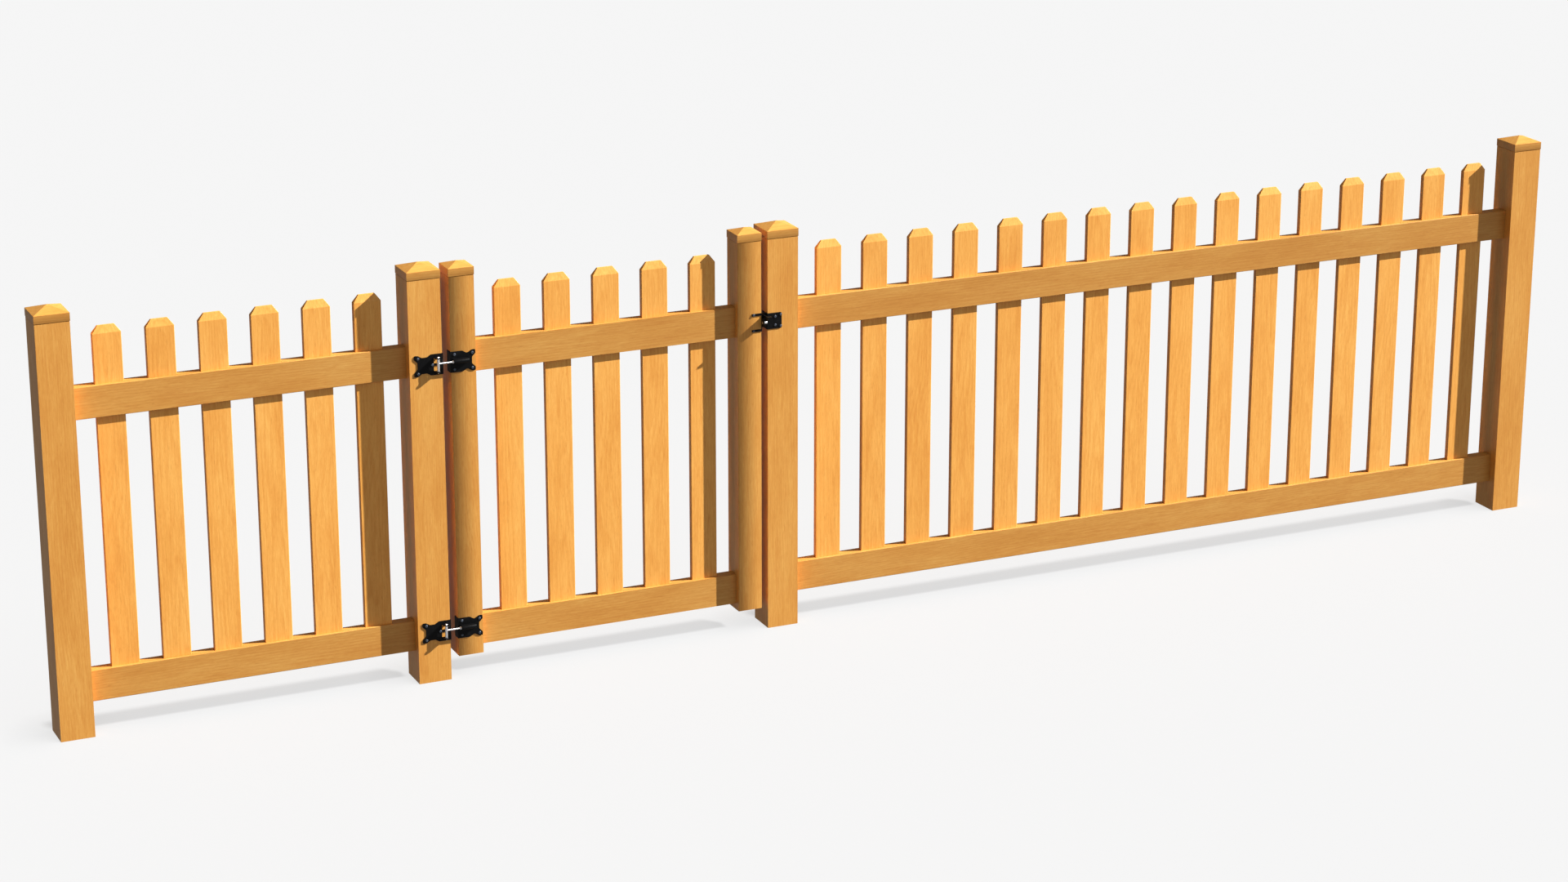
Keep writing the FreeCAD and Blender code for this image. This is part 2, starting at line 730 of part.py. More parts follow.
def make_gate_leaf(label, height):
    """The gate's leaf, with the raised housing that the adjusting rod screws into.

    The body's origin is on the hinge stile's front left edge at the hinge's height.
    """
    body = new_body(label, x="gate_edge", y="front", z=height)
    pad(body, leaf_outline(body, label + "Outline", "gate_leaf_length", 1), "plate")
    round_leaf(body, 1)
    wrap_flange(body, label + "Wrap", 1, "leaf_wrap", "leaf_half_height")
    holes = circles(body, label + "Holes", "XZ_Plane", "screw_radius + screw_fit",
                    GATE_LEAF_SCREWS, out="plate")
    pocket(body, holes, "plate")
    ramp = polygon(body, label + "Housing", "XY_Plane", [
        ("housing_setback", "-plate / 2"), ("housing_setback", "-housing_front"),
        ("housing_length - housing_ramp", "-housing_front"), ("housing_length", "-plate / 2"),
    ], out="rod_rise")
    pad(body, ramp, "2 * housing_half", midplane=True)
    doc.recompute()
    crest = body.Tip.Shape.BoundBox.YMin
    fillet_edges(body, "housing_round",
                 lambda edge: runs_along(edge, 0) and abs(edge.CenterOfMass.y - crest) < 0.001)
    bore = circles(body, label + "Bore", "YZ_Plane", "rod_radius + rod_fit",
                   [("-pin_standoff", "rod_rise")], out="0")
    pocket(body, bore, "rod_reach + housing_bore_end", backwards=True)
    return body


def make_rod(label, height):
    """The adjusting rod: a threaded stud on a barrel that turns about the hinge pin."""
    barrel = cylinder(label + "Barrel", "barrel_radius", "barrel_length", "z",
                      "pin_x", "pin_y", f"{height} - barrel_length / 2")
    stud = cylinder(label + "Stud", "rod_radius", "gate_edge - pin_x + rod_reach", "x",
                    "pin_x", "pin_y", f"{height} + rod_rise")
    bore = cylinder(label + "PinBore", "pin_radius + pin_fit", "barrel_length + 2 * plate", "z",
                    "pin_x", "pin_y", f"{height} - barrel_length / 2 - plate")
    return node(cut(label, fuse(label + "Solid", barrel, stud), bore), label)


def make_pin(name, height):
    """A riveted hinge pin between the lugs, with a head at each end."""
    half = "(lug_inner + lug_thickness)"
    shank = cylinder(name + "Shank", "pin_radius", f"2 * {half}", "z",
                     "pin_x", "pin_y", f"{height} - {half}")
    top = cone(name + "Top", "pin_head_radius", "pin_radius", "pin_head_height", "up",
               "pin_x", "pin_y", f"{height} + {half}")
    foot = cone(name + "Foot", "pin_head_radius", "pin_radius", "pin_head_height", "down",
                "pin_x", "pin_y", f"{height} - {half}")
    return fuse(name, shank, top, foot)


def make_nut(name, height):
    """The hexagon nut that locks the rod against the gate leaf's housing."""
    start = "gate_edge + housing_setback - nut_thickness"
    blank = prism(name + "Blank", "nut_across_corners / 2", "nut_thickness", "x",
                  start, "pin_y", f"{height} + rod_rise")
    bore = cylinder(name + "Bore", "rod_radius + rod_fit", "2 * nut_thickness", "x",
                    f"{start} - nut_thickness / 2", "pin_y", f"{height} + rod_rise")
    return cut(name, blank, bore)


def make_screw(name, x, z, under_head):
    """A screw driven towards +Y, with a low domed head and a hexagon socket."""
    shank = cylinder(name + "Shank", "screw_radius", "screw_length", "y", x, under_head, z)
    head = cone(name + "Head", "screw_head_radius", "screw_crown_radius", "screw_head_height",
                "front", x, under_head, z)
    socket = prism(name + "Socket", "screw_socket_radius", "2 * screw_socket_depth", "y",
                   x, f"{under_head} - screw_head_height - screw_socket_depth", z)
    return cut(name, fuse(name + "Solid", shank, head), socket)


def make_hinges():
    heights = (("upper_hinge", "upper"), ("lower_hinge", "lower"))
    for height, name in heights:
        make_post_leaf(f"{name}_hinge_post_leaf", height)
        make_gate_leaf(f"{name}_hinge_gate_leaf", height)
        make_rod(f"{name}_hinge_rod", height)
    group("hinge_pins", [make_pin(name + "Pin", height) for height, name in heights])
    group("hinge_rod_nuts", [make_nut(name + "Nut", height) for height, name in heights])


# ---------------------------------------------------------------- latch


def make_latch_plate():
    """The post's latch plate, with the boss that carries the lever and the gate's stop.

    The body's origin is on the latch post's front left edge at the latch's height.
    """
    label = "latch_plate"
    body = new_body(label, x="latch_edge", y="front", z="latch_height")
    half = "latch_half_height"
    face = polygon(body, label + "Face", "XZ_Plane", [
        ("-plate", f"-{half}"), ("latch_plate_width", f"-{half}"),
        ("latch_plate_width", half), ("-plate", half),
    ])
    pad(body, face, "plate")
    doc.recompute()
    right = body.Tip.Shape.BoundBox.XMax
    fillet_edges(body, "latch_round",
                 lambda edge: runs_along(edge, 1) and abs(edge.CenterOfMass.x - right) < 0.001)
    wrap_flange(body, label + "Wrap", 1, "latch_wrap", half)
    boss = circles(body, label + "Boss", "YZ_Plane", "boss_radius",
                   [("pivot_setback", "pivot_rise")], out="-plate")
    pad(body, boss, "lever_gap - lever_play", backwards=True)
    stop_front = "-(striker_pin_setout - striker_pin_radius - stop_gap)"
    stop_top = "pivot_rise - lever_heel - stop_rest_gap"
    stop = polygon(body, label + "Stop", "YZ_Plane", [
        (stop_front, f"{stop_top} - stop_height"), (f"{stop_front} + stop_depth", f"{stop_top} - stop_height"),
        (f"{stop_front} + stop_depth", stop_top), (stop_front, stop_top),
    ], out="-plate / 2")
    pad(body, stop, "stop_reach + plate / 2", backwards=True)
    holes = circles(body, label + "Holes", "XZ_Plane", "screw_radius + screw_fit",
                    LATCH_SCREWS, out="plate")
    pocket(body, holes, "plate")
    pivot = circles(body, label + "PivotHole", "YZ_Plane", "pivot_radius + rivet_fit",
                    [("pivot_setback", "pivot_rise")], out="0")
    pocket(body, pivot, "latch_gap")
    return body


def raised(u, v):
    """A point of the dropped lever, u forward of the pivot and v above it, with the lever raised."""
    turn = "lever_drop_angle * 1 deg"
    return (f"-(({u}) * cos({turn}) - ({v}) * sin({turn}))",
            f"({u}) * sin({turn}) + ({v}) * cos({turn})")


def make_lever():
    """The latch lever: a hub, a hook that drops in front of the striker pin and a sloping nose.

    The body's origin is on the pivot's axis, at the lever's left face.
    """
    label = "latch_lever"
    body = new_body(label, x="lever_x", y="pivot_y", z="pivot_z")
    notch_top = "striker_pin_radius + hook_clearance - pivot_rise"
    hook_foot = "-pivot_rise - hook_cover"
    toe = raised("hook_u + notch_half + hook_toe", hook_foot)
    outline = polygon(body, label + "Outline", "YZ_Plane", [
        ("0", "lever_hub"),
        raised("0", "-lever_heel"),
        raised("hook_u - notch_half", "-lever_heel"),
        raised("hook_u - notch_half", notch_top),
        raised("hook_u + notch_half", notch_top),
        raised("hook_u + notch_half", hook_foot),
        toe,
        ("-lever_reach", "lever_top - thumb_thickness - hook_toe"),
        ("-lever_reach", "lever_top"),
        ("-lever_crest", "lever_top"),
    ])
    pad(body, outline, "lever_thickness")
    hub = circles(body, label + "Hub", "YZ_Plane", "lever_hub", [("0", "0")])
    pad(body, hub, "lever_thickness")
    thumb = polygon(body, label + "Thumb", "XY_Plane", [
        ("0", "-lever_reach"), ("thumb_width", "-lever_reach"),
        ("thumb_width", "-lever_reach + thumb_length"), ("0", "-lever_reach + thumb_length"),
    ], out="lever_top - thumb_thickness")
    pad(body, thumb, "thumb_thickness")
    bore = circles(body, label + "Bore", "YZ_Plane", "pivot_radius + pivot_fit", [("0", "0")],
                   out="lever_thickness")
    pocket(body, bore, "lever_thickness")
    return body


def make_lever_pivot():
    """The pivot rivet: through the lever, the boss and the folded flange, with a head outside."""
    name = "latch_lever_pivot"
    shank = cylinder(name + "Shank", "pivot_radius", "latch_gap - lever_left_gap + lever_play", "x",
                     "lever_x - lever_play", "pivot_y", "pivot_z")
    head = cone(name + "Head", "pivot_head_radius", "pivot_radius", "pivot_head_height", "left",
                "lever_x - lever_play", "pivot_y", "pivot_z")
    return node(fuse(name, shank, head), name)


def make_striker():
    """The gate's striker: a web on the stile's edge, two fingers on its face and a tongue.

    The body's origin is on the latch stile's front right edge at the latch's height.
    """
    label = "striker"
    body = new_body(label, x="gate_shut_edge", y="front", z="latch_height")
    corners = [
        ("striker_web_depth", "striker_web_half"), ("-striker_plate", "striker_web_half"),
        ("-striker_plate", "striker_tongue_root"),
        ("-striker_tongue_reach", "striker_tongue_tip"),
    ]
    mirrored = [(y, f"-{z}") for y, z in reversed(corners)]
    web = polygon(body, label + "Web", "YZ_Plane", corners + mirrored)
    pad(body, web, "striker_plate")
    doc.recompute()
    tip = body.Tip.Shape.BoundBox.YMin
    fillet_edges(body, "striker_tongue_tip - striker_plate",
                 lambda edge: runs_along(edge, 0) and abs(edge.CenterOfMass.y - tip) < 0.001)
    for side, name in ((1, "Upper"), (-1, "Lower")):
        finger = rectangle(
            body, label + name + "Finger", "XZ_Plane",
            "finger_length + striker_plate", "2 * finger_half",
            x="-(finger_length - striker_plate) / 2", y=f"{side} * finger_height",
        )
        pad(body, finger, "striker_plate")
    holes = circles(body, label + "Holes", "XZ_Plane", "screw_radius + screw_fit",
                    STRIKER_SCREWS, out="striker_plate")
    pocket(body, holes, "striker_plate")
    eye = circles(body, label + "Eye", "YZ_Plane", "striker_pin_radius + rivet_fit",
                  [("-striker_pin_setout", "0")], out="striker_plate")
    pocket(body, eye, "striker_plate")
    return body


def make_striker_pin():
    """The striker pin, riveted into the tongue and reaching across the gap under the lever."""
    pin = cylinder("striker_pin", "striker_pin_radius", "striker_plate + striker_pin_reach", "x",
                   "gate_shut_edge", "striker_pin_y", "latch_height")
    return node(pin, "striker_pin")


def make_latch():
    make_latch_plate()
    make_lever()
    make_lever_pivot()
    make_striker()
    make_striker_pin()


def make_screws():
    """All screws are alike; those on the fence and those on the gate are two groups."""
    hinges = ("upper_hinge", "lower_hinge")
    fence = [s for h in hinges for s in shifted(POST_LEAF_SCREWS, "post_edge", h)]
    fence += shifted(LATCH_SCREWS, "latch_edge", "latch_height")
    gate = [s for h in hinges for s in shifted(GATE_LEAF_SCREWS, "gate_edge", h)]
    striker = shifted(STRIKER_SCREWS, "gate_shut_edge", "latch_height")
    on_leaf = "front - plate"
    on_finger = "front - striker_plate"
    fence_screws = [
        make_screw(f"FenceScrew{i}", x, z, on_leaf) for i, (x, z) in enumerate(fence)
    ]
    gate_screws = [
        make_screw(f"GateScrew{i}", x, z, on_leaf) for i, (x, z) in enumerate(gate)
    ]
    gate_screws += [
        make_screw(f"StrikerScrew{i}", x, z, on_finger) for i, (x, z) in enumerate(striker)
    ]
    group("fence_screws", fence_screws)
    group("gate_screws", gate_screws)


# ---------------------------------------------------------------- build, check and write


def check():
    for thing in doc.Objects:
        if "Invalid" in thing.State or "Error" in thing.State:
            raise RuntimeError(f"{thing.Label} failed: {thing.State}")
    for thing in nodes:
        if thing.Shape.isNull() or not thing.Shape.isValid():
            raise RuntimeError(f"{thing.Label} has no valid shape")
        if not thing.Shape.Solids:
            raise RuntimeError(f"{thing.Label} has no solid")


make_timber()
make_hinges()
make_latch()
make_screws()
doc.recompute()
check()
os.makedirs("parts", exist_ok=True)
for part in nodes:
    part.Shape.exportStep(f"parts/{part.Label}.step")
print(f"{len(nodes)} sub-parts written")
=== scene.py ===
import json
import math

import bpy
from mathutils import Euler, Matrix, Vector


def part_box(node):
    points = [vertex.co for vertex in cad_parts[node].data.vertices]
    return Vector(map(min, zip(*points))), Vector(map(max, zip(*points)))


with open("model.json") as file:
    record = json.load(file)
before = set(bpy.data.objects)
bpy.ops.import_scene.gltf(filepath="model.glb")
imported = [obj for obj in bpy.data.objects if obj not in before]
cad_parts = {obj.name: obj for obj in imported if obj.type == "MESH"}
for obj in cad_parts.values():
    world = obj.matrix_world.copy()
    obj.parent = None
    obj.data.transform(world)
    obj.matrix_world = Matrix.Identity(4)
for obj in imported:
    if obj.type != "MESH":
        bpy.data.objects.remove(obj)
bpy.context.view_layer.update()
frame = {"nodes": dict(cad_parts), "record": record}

nodes = frame["nodes"]


# ---------------------------------------------------------------- camera and light

CAMERA_PLACE = (-3.3327, -9.9411, 4.1456)
CAMERA_TURN = (71.958, 0, -24.392)
LENS = 85
SENSOR = 36
FARTHEST_SEEN = 200

# Each sun light: the way it travels, its strength, and its angular size in degrees.
SUN = ((-0.789, 0.235, -0.568), 10.4, 0.6)
SOFT_LIGHT = ((-0.35, 0.45, -1.0), 1.0, 50)
BACK_LIGHT = ((0.0, -1.0, 0.0), 3.8, 8)
LOW_LIGHT = ((-0.45, 0.52, -1.0), 5.0, 8)
LIGHT_PLACE = (3, -4, 5)

# The world's soft light: a base, and a lobe that is strongest in one direction.
SOFT_FRONT = (0.25, -0.93, 0.26)
WORLD_BASE = 0.110
WORLD_FRONT = 0.435
WORLD_LOBE = 2.0
WORLD_TINT = (1.0, 0.985, 0.985, 1)
PALE = 0.93

# The floor: its own glow, its share of the lights, its contact shadow, and what the object gets from it.
FLOOR_SIZE = 120
FLOOR_PLACE = (1.4, 8, 0)
FLOOR_GLOW = 0.705
FLOOR_SHADED = 0.12
SHADOW_REACH = 0.16
SHADOW_DEPTH = 0.3
SHADOW_FROM = (0.45, -0.80, 0.38)
SHADOW_RAYS = 16
FLOOR_BOUNCE = 0.11
FLOOR_MIRRORED = 0.38


def add_camera():
    data = bpy.data.cameras.new("camera")
    data.lens = LENS
    data.sensor_width = SENSOR
    data.clip_end = FARTHEST_SEEN
    camera = bpy.data.objects.new("camera", data)
    camera.location = CAMERA_PLACE
    camera.rotation_euler = Euler([math.radians(angle) for angle in CAMERA_TURN])
    bpy.context.scene.collection.objects.link(camera)
    bpy.context.scene.camera = camera


def add_sun(name, travel, strength, angle):
    data = bpy.data.lights.new(name, "SUN")
    data.energy = strength
    data.angle = math.radians(angle)
    light = bpy.data.objects.new(name, data)
    light.rotation_euler = Vector(travel).to_track_quat("-Z", "Y").to_euler()
    light.location = LIGHT_PLACE
    bpy.context.scene.collection.objects.link(light)
    return light


def link_light(light, name, things, blockers=()):
    """Limits a light to some receivers, and its shadows to some blockers if they are given."""
    receivers = bpy.data.collections.new(name)
    for thing in things:
        receivers.objects.link(thing)
    light.light_linking.receiver_collection = receivers
    if blockers:
        casting = bpy.data.collections.new(name + "_blockers")
        for thing in blockers:
            casting.objects.link(thing)
        light.light_linking.blocker_collection = casting


class Graph:
    """Builds a material's or the world's node tree."""

    def __init__(self, owner):
        owner.use_nodes = True
        self.tree = owner.node_tree
        self.tree.nodes.clear()

    def node(self, kind, **settings):
        made = self.tree.nodes.new(kind)
        for name, value in settings.items():
            setattr(made, name, value)
        return made

    def link(self, source, target):
        self.tree.links.new(source, target)

    def put(self, value, socket):
        if isinstance(value, bpy.types.NodeSocket):
            self.link(value, socket)
        else:
            socket.default_value = value

    def math(self, operation, *values):
        made = self.node("ShaderNodeMath", operation=operation)
        for value, socket in zip(values, made.inputs):
            self.put(value, socket)
        return made.outputs[0]

    def vector(self, operation, a, b):
        made = self.node("ShaderNodeVectorMath", operation=operation)
        self.put(a, made.inputs[0])
        self.put(b, made.inputs[1])
        return made.outputs[0]

    def parts(self, vector):
        made = self.node("ShaderNodeSeparateXYZ")
        self.link(vector, made.inputs[0])
        return made.outputs

    def noise(self, vector, scale, detail, roughness=0.5, distortion=0.0):
        made = self.node("ShaderNodeTexNoise")
        self.link(vector, made.inputs["Vector"])
        made.inputs["Scale"].default_value = scale
        made.inputs["Detail"].default_value = detail
        made.inputs["Roughness"].default_value = roughness
        made.inputs["Distortion"].default_value = distortion
        return made.outputs["Fac"]

    def ramp(self, fac, stops):
        made = self.node("ShaderNodeValToRGB")
        self.link(fac, made.inputs[0])
        elements = made.color_ramp.elements
        while len(elements) < len(stops):
            elements.new(0.5)
        for element, (place, colour) in zip(elements, stops):
            element.position = place
            element.color = colour
        return made.outputs[0]

    def mix(self, fac, a, b, blend="MIX"):
        made = self.node("ShaderNodeMix", data_type="RGBA", blend_type=blend)
        self.put(fac, made.inputs[0])
        self.put(a, made.inputs[6])
        self.put(b, made.inputs[7])
        return made.outputs[2]

    def span(self, fac, low, high, to_low=0.0, to_high=1.0):
        """Carries low..high over to another range, and holds it there beyond the ends."""
        made = self.node("ShaderNodeMapRange")
        self.link(fac, made.inputs[0])
        for index, value in enumerate((low, high, to_low, to_high), start=1):
            made.inputs[index].default_value = value
        return made.outputs[0]

    def bump(self, height, strength, distance, normal=None):
        made = self.node("ShaderNodeBump")
        made.inputs["Strength"].default_value = strength
        made.inputs["Distance"].default_value = distance
        self.link(height, made.inputs["Height"])
        if normal:
            self.link(normal, made.inputs["Normal"])
        return made.outputs[0]

    def diffuse(self, grey):
        made = self.node("ShaderNodeBsdfDiffuse")
        made.inputs["Color"].default_value = (grey, grey, grey, 1)
        return made.outputs[0]

    def seen_as(self, seen, otherwise, ray="Is Camera Ray"):
        """One shader for one kind of ray and another for all the rest."""
        path = self.node("ShaderNodeLightPath")
        both = self.node("ShaderNodeMixShader")
        self.link(path.outputs[ray], both.inputs[0])
        self.link(otherwise, both.inputs[1])
        self.link(seen, both.inputs[2])
        return both.outputs[0]


def light_world():
    """Soft studio light, brightest from the front; the camera itself sees a plain pale backdrop."""
    world = bpy.data.worlds.new("studio")
    bpy.context.scene.world = world
    graph = Graph(world)
    coords = graph.node("ShaderNodeTexCoord").outputs["Generated"]
    towards = graph.node("ShaderNodeVectorMath", operation="DOT_PRODUCT")
    graph.link(coords, towards.inputs[0])
    towards.inputs[1].default_value = SOFT_FRONT
    lobe = graph.math("POWER", graph.math("MAXIMUM", towards.outputs["Value"], 0.0), WORLD_LOBE)
    soft = graph.node("ShaderNodeBackground")
    soft.inputs["Color"].default_value = WORLD_TINT
    graph.link(graph.math("MULTIPLY_ADD", lobe, WORLD_FRONT, WORLD_BASE), soft.inputs["Strength"])
    backdrop = graph.node("ShaderNodeBackground")
    backdrop.inputs["Strength"].default_value = PALE
    out = graph.node("ShaderNodeOutputWorld")
    graph.link(graph.seen_as(backdrop.outputs[0], soft.outputs[0]), out.inputs[0])


def floor_material():
    """What the camera sees is bright with faint shadows. The object gets a low bounce from it."""
    material = bpy.data.materials.new("floor")
    graph = Graph(material)
    lean = graph.node("ShaderNodeCombineXYZ")
    for socket, value in zip(lean.inputs, SHADOW_FROM):
        socket.default_value = value
    nearby = graph.node("ShaderNodeAmbientOcclusion", samples=SHADOW_RAYS)
    nearby.inputs["Distance"].default_value = SHADOW_REACH
    graph.link(lean.outputs[0], nearby.inputs["Normal"])
    glow = graph.node("ShaderNodeEmission")
    lit = graph.span(nearby.outputs["AO"], 0.0, 1.0, FLOOR_GLOW * (1 - SHADOW_DEPTH), FLOOR_GLOW)
    graph.link(lit, glow.inputs["Strength"])
    seen = graph.node("ShaderNodeAddShader")
    graph.link(glow.outputs[0], seen.inputs[0])
    graph.link(graph.diffuse(FLOOR_SHADED), seen.inputs[1])
    mirrored = graph.node("ShaderNodeEmission")
    mirrored.inputs["Strength"].default_value = FLOOR_MIRRORED
    unseen = graph.seen_as(mirrored.outputs[0], graph.diffuse(FLOOR_BOUNCE), "Is Glossy Ray")
    out = graph.node("ShaderNodeOutputMaterial")
    graph.link(graph.seen_as(seen.outputs[0], unseen), out.inputs[0])
    return material


def add_floor():
    bpy.ops.mesh.primitive_plane_add(size=FLOOR_SIZE, location=FLOOR_PLACE)
    floor = bpy.context.object
    floor.name = "floor"
    floor.data.materials.append(floor_material())
    return floor


def light_scene(floor):
    """Sunlight and a weak light on the back for the object, and two lights for the floor's shadows."""
    sun = add_sun("sun", *SUN)
    soft = add_sun("soft_light", *SOFT_LIGHT)
    back = add_sun("back_light", *BACK_LIGHT)
    back.visible_glossy = False
    low = add_sun("low_light", *LOW_LIGHT)
    low_rails = [thing for name, thing in nodes.items() if name.endswith("bottom_rail")]
    link_light(sun, "sunlit", nodes.values())
    link_light(back, "filled", nodes.values())
    link_light(soft, "softly_lit", [floor])
    link_light(low, "lowly_lit", [floor], low_rails)


# ---------------------------------------------------------------- wood

# The axes across the grain and the axis along it.
ACROSS = {"x": (1, 2), "z": (0, 1)}
ALONG = {"x": 0, "z": 2}

LIGHT_WOOD = (0.745, 0.345, 0.067, 1)
DARK_WOOD = (0.63, 0.250, 0.034, 1)
PALE_WOOD = (0.83, 0.445, 0.108, 1)
END_WOOD = (0.5, 0.2, 0.04, 1)
# The colour of the picket sides is painted shade: darker than the faces, standing in for the shade that
# falls between the pickets.
PAINTED_SIDE_SHADE = (0.36, 0.145, 0.036, 1)
FLECK_WOOD = (0.48, 0.165, 0.022)
DEEPENING = (0.45, 0.95, 1.7)
BROAD_STOPS = ((0.32, DARK_WOOD), (0.50, LIGHT_WOOD), (0.74, PALE_WOOD))
EVENNESS = 0.60

# Each noise in the wood: its squeeze along the grain, scale, detail, roughness and distortion.
WANDER_NOISE = (0.18, 9, 2)
BROAD_NOISE = (0.25, 13, 3, 0.55)
STREAK_NOISE = (0.06, 210, 3, 0.6, 0.5)
FIBRE_NOISE = (0.10, 560, 2, 0.65)
DASH_NOISE = (0.13, 300, 2, 0.5)

# Each span: the range read from a pattern, then the range that it is carried over to.
WANDER_SPAN = (0.3, 0.7, -0.011, 0.011)
LINE_SHADES = (0.34, 0.66, 0.88, 1.08)
FIBRE_SHADES = (0.3, 0.7, 0.89, 1.09)
RING_SHADES = (0.0, 1.0, 1.02, 0.92)
FLECK_AMOUNT = (0.62, 0.76, 0.0, 0.36)
END_AMOUNT = (0.85, 0.95, 0.0, 0.10)
# How far the picket sides take on the painted shade.
SIDE_SHADE_AMOUNT = (0.85, 0.95, 0.0, 0.6)
WOOD_ROUGHNESS = (0.3, 0.7, 0.52, 0.40)

# The growth rings, about a pith line that lies behind the board.
RINGS_A_METRE = 150.0
RING_RISE = (0.35, 0.86)
RING_FALL = (0.90, 1.0, 1.0, 0.0)
PITH_SIDEWAYS = 0.03
PITH_DEPTH = 0.055
PITH_LEAN = 0.028

# How far each board's seed shifts its pattern, and turns its pith about.
SEED_SHIFT = (0.137, 0.071, 0.213)
SIDEWAYS_TURN = 5.1
LEAN_TURN = 2.4
TONE_TURN = 12.9898

STREAK_RELIEF = 0.5
FIBRE_RELIEF = 0.5
RING_RELIEF = 0.3
WOOD_BUMP = (0.2, 0.0004)


def grain_noise(graph, place, along, squeeze, *settings):
    """A noise that runs in long streaks along the grain."""
    scale = [1.0, 1.0, 1.0]
    scale[ALONG[along]] = squeeze
    return graph.noise(graph.vector("MULTIPLY", place, tuple(scale)), *settings)


def deepened(graph, shade):
    """Turns a shade into a tint: where the wood is darker it is redder too."""
    tint = graph.node("ShaderNodeCombineXYZ")
    for socket, power in zip(tint.inputs, DEEPENING):
        graph.link(graph.math("POWER", shade, power), socket)
    return tint.outputs[0]


def growth_rings(graph, place, along, seed):
    """Each board is sawn beside the pith, so its rings meet its faces as lines and long arches."""
    parts = graph.parts(place)
    run = parts[ALONG[along]]
    wander = graph.span(grain_noise(graph, place, along, *WANDER_NOISE), *WANDER_SPAN)
    lean = graph.math("MULTIPLY", run, PITH_LEAN * math.sin(seed * LEAN_TURN))
    pith = (PITH_SIDEWAYS * math.sin(seed * SIDEWAYS_TURN), PITH_DEPTH)
    squares = []
    for axis, distance in zip(ACROSS[along], pith):
        shifted = graph.math("ADD", graph.math("ADD", parts[axis], lean), wander)
        shifted = graph.math("ADD", shifted, distance)
        squares.append(graph.math("MULTIPLY", shifted, shifted))
    radius = graph.math("SQRT", graph.math("ADD", *squares))
    turn = graph.math("FRACT", graph.math("MULTIPLY", radius, RINGS_A_METRE))
    return graph.math("MULTIPLY", graph.span(turn, *RING_RISE), graph.span(turn, *RING_FALL))


def crowned(graph, coords, normal, axis, edge, width, slope):
    """Eases the shading of a face towards its left or lower edge, as a worn arris does."""
    near = graph.span(graph.parts(coords)[axis], edge, edge + width, 1.0, 0.0)
    height = graph.math("MULTIPLY", graph.math("MULTIPLY", near, near), -slope * width / 2)
    return graph.bump(height, 1.0, 1.0, normal)


def finish(graph, colour, roughness, normal, metallic=0.0, specular=0.5):
    """The shader and the output that every material of the object ends with."""
    shader = graph.node("ShaderNodeBsdfPrincipled")
    graph.link(colour, shader.inputs["Base Color"])
    graph.link(roughness, shader.inputs["Roughness"])
    graph.link(normal, shader.inputs["Normal"])
    shader.inputs["Metallic"].default_value = metallic
    shader.inputs["Specular IOR Level"].default_value = specular
    out = graph.node("ShaderNodeOutputMaterial")
    graph.link(shader.outputs[0], out.inputs[0])


def board_middle(name):
    low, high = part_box(name)
    return tuple((a + b) / 2 for a, b in zip(low, high))


def wood(name, along, seed, tone, crown):
    """Oiled softwood with its grain along one axis. Tone shades a whole board."""
    material = bpy.data.materials.new(name)
    graph = Graph(material)
    texture = graph.node("ShaderNodeTexCoord").outputs
    coords = texture["Object"]
    place = graph.vector("ADD", coords, tuple(seed * shift for shift in SEED_SHIFT))
    centred = graph.vector("SUBTRACT", coords, board_middle(name))
    rings = growth_rings(graph, centred, along, seed)
    broad = grain_noise(graph, place, along, *BROAD_NOISE)
    streak = grain_noise(graph, place, along, *STREAK_NOISE)
    fibre = grain_noise(graph, place, along, *FIBRE_NOISE)
    dash = grain_noise(graph, place, along, *DASH_NOISE)

    colour = graph.mix(EVENNESS, graph.ramp(broad, BROAD_STOPS), LIGHT_WOOD)
    shade = graph.math("MULTIPLY", graph.span(streak, *LINE_SHADES), graph.span(fibre, *FIBRE_SHADES))
    shade = graph.math("MULTIPLY", shade, graph.span(rings, *RING_SHADES))
    colour = graph.mix(1.0, colour, deepened(graph, shade), "MULTIPLY")
    colour = graph.mix(1.0, colour, (tone, tone, tone, 1), "MULTIPLY")
    fleck = (*[tone * channel for channel in FLECK_WOOD], 1)
    colour = graph.mix(graph.span(dash, *FLECK_AMOUNT), colour, fleck)

    facing = graph.parts(texture["Normal"])
    end = graph.math("ABSOLUTE", facing[ALONG[along]])
    colour = graph.mix(graph.span(end, *END_AMOUNT), colour, END_WOOD)
    # Painted shade: both sides of each picket are darkened, standing in for the shade that falls between
    # the pickets.
    if "picket" in name:
        edge = graph.math("ABSOLUTE", facing[0])
        colour = graph.mix(graph.span(edge, *SIDE_SHADE_AMOUNT), colour, PAINTED_SIDE_SHADE)

    relief = graph.math("MULTIPLY", streak, STREAK_RELIEF)
    relief = graph.math("ADD", relief, graph.math("MULTIPLY", fibre, FIBRE_RELIEF))
    relief = graph.math("SUBTRACT", relief, graph.math("MULTIPLY", rings, RING_RELIEF))
    normal = graph.bump(relief, *WOOD_BUMP)
    if crown:
        normal = crowned(graph, coords, normal, *crown)
    finish(graph, colour, graph.span(streak, *WOOD_ROUGHNESS), normal)
    return material


# ---------------------------------------------------------------- metal

# Noises are scale, detail and roughness; bumps are strength and distance.
COATING_PEEL = (900, 2)
COATING_CLOUD = (70, 4, 0.6)
COATING_BLACK = (0.0015, 0.0015, 0.0018, 1)
COATING_DUST = (0.011, 0.011, 0.012, 1)
COATING_SCUFFS = (0.56, 0.72, 0.0, 0.35)
COATING_ROUGHNESS = (0.3, 0.7, 0.42, 0.56)
COATING_SPECULAR = 0.15
COATING_BUMP = (0.3, 0.0002)

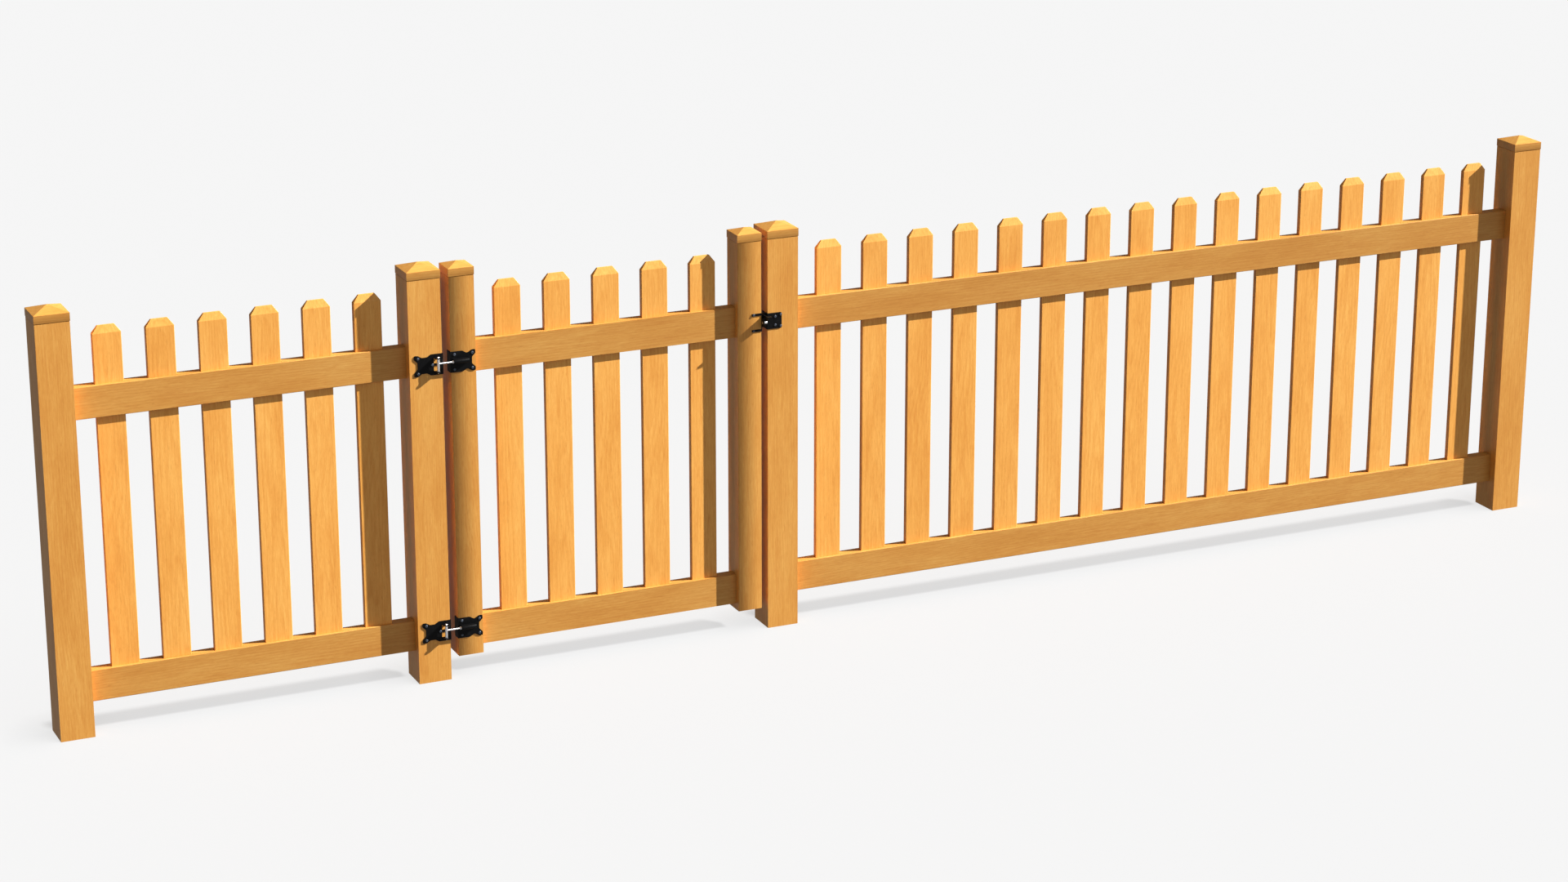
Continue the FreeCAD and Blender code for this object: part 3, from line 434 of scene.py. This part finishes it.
BRIGHT_CLOUD = (160, 3)
BRIGHT_LINES = (1500, 2)
BRIGHT_DRAWN = (0.1, 1.0, 1.0)
BRIGHT_DULL = (0.80, 0.80, 0.82, 1)
BRIGHT_CLEAN = (0.93, 0.93, 0.94, 1)
BRIGHT_METALLIC = 0.85
BRIGHT_ROUGHNESS = (0.3, 0.7, 0.22, 0.36)
BRIGHT_BUMP = (0.15, 0.0001)

SCREW_RUB = (420, 3, 0.6)
SCREW_BLACKED = (0.05, 0.06, 0.08, 1)
SCREW_RUBBED = (0.13, 0.15, 0.19, 1)
SCREW_WEAR = (0.35, 0.65)
SCREW_METALLIC = 0.35
SCREW_ROUGHNESS = (0.3, 0.7, 0.55, 0.38)
SCREW_BUMP = (0.2, 0.0001)


def object_coords(graph):
    return graph.node("ShaderNodeTexCoord").outputs["Object"]


def black_coating():
    """Black powder coating: a fine orange peel, with faint scuffs and dust."""
    material = bpy.data.materials.new("black_coating")
    graph = Graph(material)
    coords = object_coords(graph)
    cloud = graph.noise(coords, *COATING_CLOUD)
    colour = graph.mix(graph.span(cloud, *COATING_SCUFFS), COATING_BLACK, COATING_DUST)
    normal = graph.bump(graph.noise(coords, *COATING_PEEL), *COATING_BUMP)
    finish(graph, colour, graph.span(cloud, *COATING_ROUGHNESS), normal, specular=COATING_SPECULAR)
    return material


def bright_steel():
    """Bright zinc-plated steel with fine drawn lines and slight cloudiness."""
    material = bpy.data.materials.new("bright_steel")
    graph = Graph(material)
    coords = object_coords(graph)
    cloud = graph.noise(coords, *BRIGHT_CLOUD)
    colour = graph.mix(cloud, BRIGHT_DULL, BRIGHT_CLEAN)
    drawn = graph.noise(graph.vector("MULTIPLY", coords, BRIGHT_DRAWN), *BRIGHT_LINES)
    normal = graph.bump(drawn, *BRIGHT_BUMP)
    finish(graph, colour, graph.span(cloud, *BRIGHT_ROUGHNESS), normal, metallic=BRIGHT_METALLIC)
    return material


def screw_steel():
    """Blackened screws whose heads are rubbed back to grey steel."""
    material = bpy.data.materials.new("screw_steel")
    graph = Graph(material)
    rub = graph.noise(object_coords(graph), *SCREW_RUB)
    colour = graph.mix(graph.span(rub, *SCREW_WEAR), SCREW_BLACKED, SCREW_RUBBED)
    normal = graph.bump(rub, *SCREW_BUMP)
    finish(graph, colour, graph.span(rub, *SCREW_ROUGHNESS), normal, metallic=SCREW_METALLIC)
    return material


# ---------------------------------------------------------------- the object

WOOD_ARRIS = 0.0015
METAL_ARRIS = 0.0004
ARRIS_STEPS = 2
ARRIS_ANGLE = 30
WELD_REACH = 0.00001

TONES = {"rail": 0.84, "picket": 1.23, "cap": 0.88}
TONE_SPREAD = 0.015
STILE_CROWN_SHARE = 0.84
STILE_CROWN_SLOPE = 0.31
CAP_SKIRT = 0.0254
SKIRT_CROWN_SLOPE = 0.22


def soften(thing, width):
    weld = thing.modifiers.new("weld", "WELD")
    weld.merge_threshold = WELD_REACH
    bevel = thing.modifiers.new("soft_edges", "BEVEL")
    bevel.width = width
    bevel.segments = ARRIS_STEPS
    bevel.limit_method = "ANGLE"
    bevel.angle_limit = math.radians(ARRIS_ANGLE)


def crown_of(name):
    """The axis, edge, width and slope of a board's eased shading, or None."""
    if name.endswith("stile"):
        low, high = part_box(name)
        return 0, low[0], STILE_CROWN_SHARE * (high[0] - low[0]), STILE_CROWN_SLOPE
    if name.endswith("cap"):
        skirt_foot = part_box(name.removesuffix("_cap"))[1][2]
        return 2, skirt_foot, CAP_SKIRT, SKIRT_CROWN_SLOPE
    return None


def board_wood(name, seed):
    along = "x" if ("rail" in name or "cap" in name) else "z"
    tone = next((value for word, value in TONES.items() if word in name), 1.0)
    tone *= 1 + TONE_SPREAD * math.sin(seed * TONE_TURN)
    return wood(name, along, seed, tone, crown_of(name))


def dress():
    """Gives every piece its soft edges and its material."""
    slots = {row["node"]: row["material_slot"] for row in frame["record"]["subparts"]}
    metals = {"black_coated_steel": black_coating(), "bright_steel": bright_steel()}
    screws = screw_steel()
    for seed, (name, thing) in enumerate(sorted(nodes.items()), start=1):
        if slots[name] == "oiled_timber":
            material = board_wood(name, seed)
            soften(thing, WOOD_ARRIS)
        else:
            material = screws if name.endswith("screws") else metals[slots[name]]
            soften(thing, METAL_ARRIS)
        thing.data.materials.clear()
        thing.data.materials.append(material)


add_camera()
light_world()
light_scene(add_floor())
dress()
bpy.context.scene.view_settings.view_transform = "Standard"
bpy.context.scene.view_settings.look = "None"
